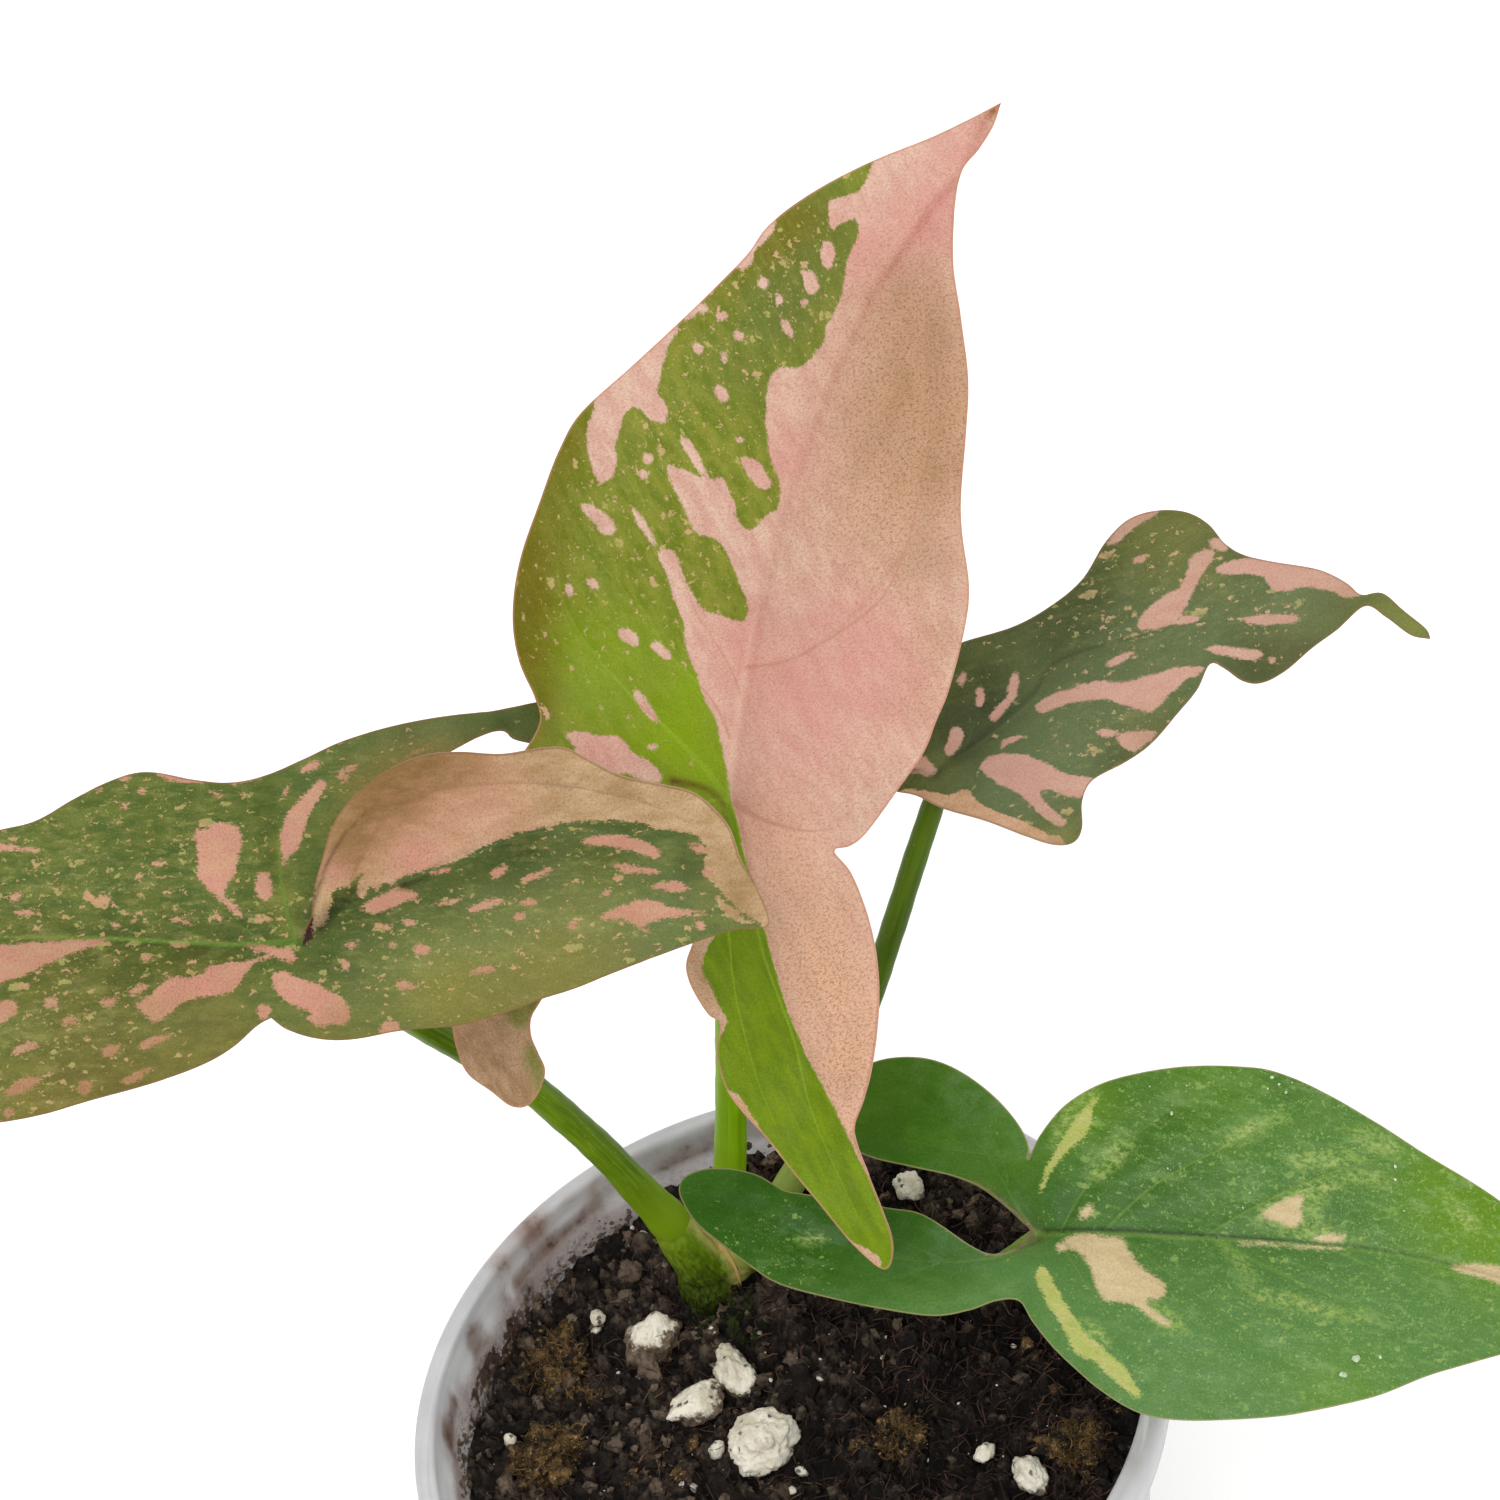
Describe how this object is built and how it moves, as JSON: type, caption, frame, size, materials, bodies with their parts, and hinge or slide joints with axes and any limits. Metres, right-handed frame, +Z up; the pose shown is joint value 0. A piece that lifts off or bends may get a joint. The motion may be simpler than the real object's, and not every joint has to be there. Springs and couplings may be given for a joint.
{
  "type": "potted syngonium",
  "caption": "Young arrowhead vine with pink-splashed arrow-shaped leaves on long green petioles, growing from peat soil with perlite in a small translucent nursery cup.",
  "frame": {"origin": "centre of the cup's base, on the surface it stands on", "axes": "+Z up along the cup's axis; -Y is the side the upright leaf's upper face looks to; +X to the right seen from there"},
  "size_m": [0.1769, 0.0956, 0.18],
  "materials": {
    "cup": "thin translucent milky plastic, satin, with a rolled rim",
    "soil": "loose dark peat, fibrous, matt",
    "stalk": "smooth living green stalk, satin",
    "root": "pale fleshy root, matt",
    "leaf_pink_green": "half dusty pink, half olive green with pink splashes, satin",
    "leaf_green_pink": "dark green with pink splashes and specks, satin",
    "leaf_dark_pink": "deep grey-green with pink splashes, satin",
    "leaf_fresh_green": "fresh green with cream and yellow-green splashes, soft gloss",
    "perlite": "white crumbly grain, matt",
    "coir": "golden-brown fibre lump, matt"
  },
  "bodies": {
    "root": {"pot": "cup", "soil": "soil", "stem": "stalk", "roots": "root", "petiole_upright": "stalk", "petiole_left": "stalk", "petiole_back_right": "stalk", "petiole_low_right": "stalk", "leaf_upright": "leaf_pink_green", "leaf_left": "leaf_green_pink", "leaf_back_right": "leaf_dark_pink", "leaf_low_right": "leaf_fresh_green", "perlite_1": "perlite", "perlite_2": "perlite", "perlite_3": "perlite", "perlite_4": "perlite", "perlite_5": "perlite", "perlite_6": "perlite", "perlite_7": "perlite", "perlite_8": "perlite", "coir_1": "coir", "coir_2": "coir", "coir_3": "coir", "coir_4": "coir"}
  },
  "joints": []
}
